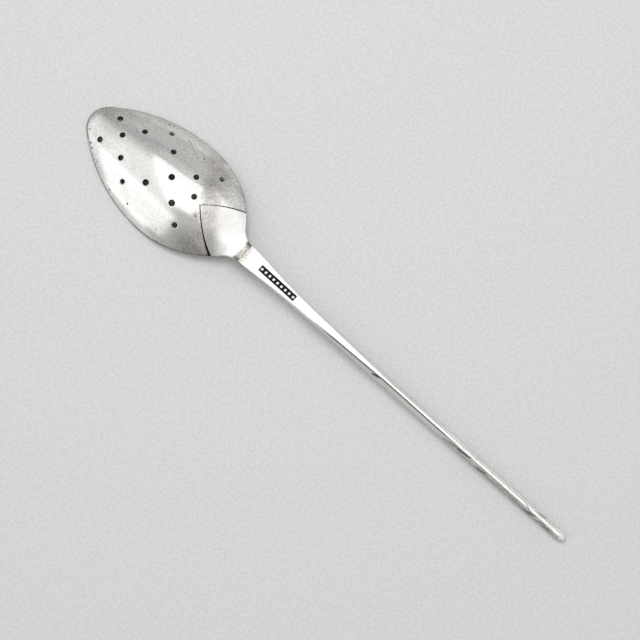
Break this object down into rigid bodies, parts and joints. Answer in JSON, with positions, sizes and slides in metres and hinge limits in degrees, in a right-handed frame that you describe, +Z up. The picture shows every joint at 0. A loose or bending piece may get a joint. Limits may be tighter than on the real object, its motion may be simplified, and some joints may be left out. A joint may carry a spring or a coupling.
{
  "type": "mote spoon",
  "caption": "Silver mote spoon lying face down: pierced dished bowl for straining tea, pointed heel lapped on its back, and a long facetted stem tapering to a blunt point.",
  "frame": {"origin": "centre of the spoon's box on the table it lies on", "axes": "+X from the bowl's tip to the stem's end, +Z up out of the bowl's convex back, +Y to the side"},
  "size_m": [0.14, 0.0242, 0.007],
  "materials": {
    "bowl_silver": "worn polished silver",
    "heel_silver": "worn polished silver, a little tarnished",
    "stem_silver": "worn polished silver with hammer marks",
    "solder": "dull silver solder"
  },
  "bodies": {
    "root": {"bowl": "bowl_silver", "heel": "heel_silver", "stem": "stem_silver", "heel_solder": "solder", "neck_solder": "solder"}
  },
  "joints": []
}
